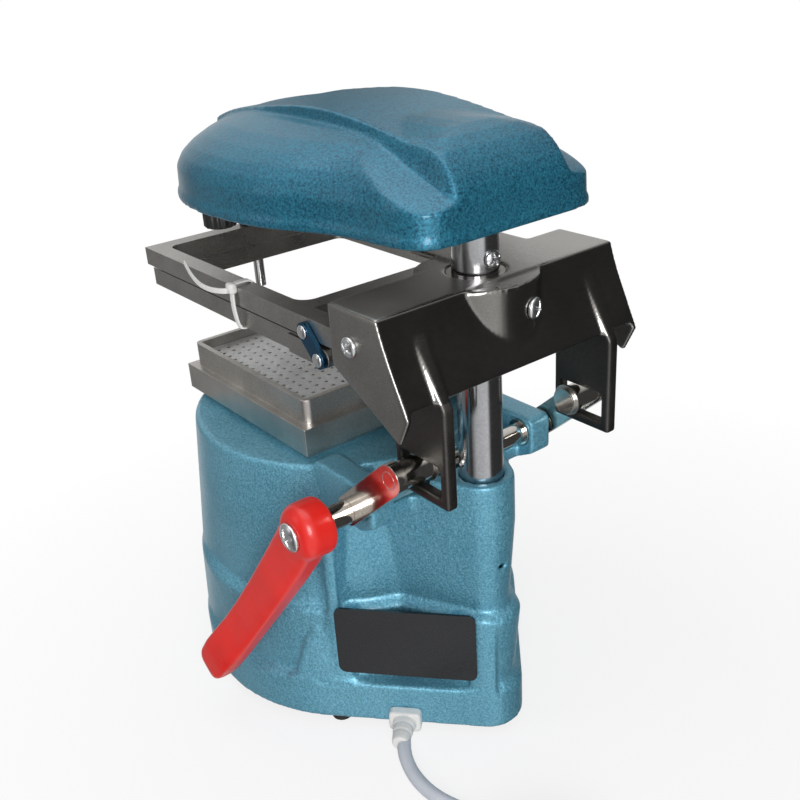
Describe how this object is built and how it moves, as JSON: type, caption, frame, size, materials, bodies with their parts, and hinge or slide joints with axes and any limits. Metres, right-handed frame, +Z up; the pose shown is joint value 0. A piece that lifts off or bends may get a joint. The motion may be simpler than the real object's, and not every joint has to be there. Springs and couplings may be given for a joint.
{
  "type": "dental vacuum former",
  "caption": "Dental vacuum former: cast base with vacuum plate, round post, sliding sheet holder moved by a side lever, and a swinging heater head.",
  "frame": {"origin": "on the ground under the axis of the post", "axes": "+Z up along the post, -Y towards the front where the sheet holder and the plate are, +X towards the red lever"},
  "size_m": [0.2623, 0.3605, 0.3132],
  "materials": {
    "base_paint": "hammertone blue-green enamel on a light metal casting",
    "head_paint": "hammertone dark teal enamel",
    "nickel": "satin nickel plate",
    "bright_aluminium": "matt",
    "chrome": "polished",
    "steel": "plain sheet",
    "screw_steel": "zinc plate",
    "iron": "plain",
    "bronze": "sintered",
    "blue_zinc": "blue zinc plate",
    "red_paint": "glossy enamel",
    "label_black": "black anodised, bare",
    "black_rubber": "matt",
    "black_plastic": "matt",
    "white_plastic": "plain",
    "cord_grey": "matt PVC",
    "red_plastic": "glossy",
    "green_plastic": "glossy",
    "ceramic": "fired ceramic"
  },
  "bodies": {
    "base": {"base_casting": "base_paint", "bottom_plate": "steel", "rubber_feet": "black_rubber", "foot_screws": "screw_steel", "label_plate": "label_black", "shaft_bushes": "bronze", "vacuum_plate": "nickel", "perforated_sheet": "bright_aluminium", "port_seal": "black_rubber", "plate_screws": "screw_steel", "motor_gasket": "black_rubber", "motor_housing": "steel", "motor_screws": "screw_steel", "motor_stator": "iron", "motor_bearings": "chrome", "switch_bodies": "black_plastic", "terminal_block": "white_plastic", "post": "chrome", "post_screws": "chrome", "cord_gland": "white_plastic", "gland_nut": "white_plastic", "power_cord": "cord_grey", "cord_tail": "cord_grey", "cord_coil": "cord_grey", "mains_plug": "cord_grey"},
    "carrier": {"carrier_casting": "nickel", "post_bush": "bronze", "carrier_set_screw": "chrome", "pivot_screws": "chrome", "upper_frame": "nickel", "link_plates": "blue_zinc", "link_rivets": "chrome"},
    "lower_frame": {"lower_frame": "nickel", "stop_pin": "chrome"},
    "clamp": {"clamp_knob": "black_plastic", "clamp_screw": "chrome"},
    "crank": {"cross_shaft": "chrome", "near_crank_arm": "nickel", "far_crank_arm": "nickel", "crank_pins": "chrome", "pin_clips": "screw_steel", "lever": "red_paint", "lever_screw": "chrome"},
    "head": {"head_cover": "head_paint", "head_base_plate": "steel", "head_screws": "screw_steel", "heater_pan": "steel", "heater_tile": "ceramic", "heater_coil": "iron", "heater_stud": "screw_steel", "swing_knob": "black_plastic", "knob_screw": "screw_steel"},
    "heat_rocker": {"heat_rocker": "red_plastic"},
    "vacuum_rocker": {"vacuum_rocker": "green_plastic"},
    "rotor": {"motor_shaft": "chrome", "motor_rotor": "iron", "fan": "bright_aluminium"}
  },
  "joints": [
    {"name": "carrier_slide", "type": "slide", "parent": "base", "child": "carrier", "axis": [0, 0, 1], "range_m": [-0.044, 0]},
    {"name": "lever_turn", "type": "hinge", "parent": "base", "child": "crank", "pos_m": [0, -0.02, 0.1445], "axis": [1, 0, 0], "range_deg": [-60.01, 0]},
    {"name": "lower_frame_open", "type": "hinge", "parent": "carrier", "child": "lower_frame", "pos_m": [0, -0.0268, 0.2178], "axis": [1, 0, 0], "range_deg": [0, 10]},
    {"name": "clamp_knob_turn", "type": "hinge", "parent": "carrier", "child": "clamp", "pos_m": [0, -0.187, 0.2341], "axis": [0, 0, 1], "continuous": true},
    {"name": "head_swing", "type": "hinge", "parent": "base", "child": "head", "pos_m": [0, 0, 0.2705], "axis": [0, 0, 1], "range_deg": [-95, 95]},
    {"name": "heat_rocker_tilt", "type": "hinge", "parent": "base", "child": "heat_rocker", "pos_m": [-0.02, -0.2, 0.088], "axis": [1, 0, 0], "range_deg": [-16, 0]},
    {"name": "vacuum_rocker_tilt", "type": "hinge", "parent": "base", "child": "vacuum_rocker", "pos_m": [0.02, -0.2, 0.088], "axis": [1, 0, 0], "range_deg": [-16, 0]},
    {"name": "motor_spin", "type": "hinge", "parent": "base", "child": "rotor", "pos_m": [0, -0.118, 0.1515], "axis": [0, 0, 1], "continuous": true}
  ],
  "couplings": [
    {"joint": "lever_turn", "follows": "carrier_slide", "rad_per_m": 23.8}
  ]
}
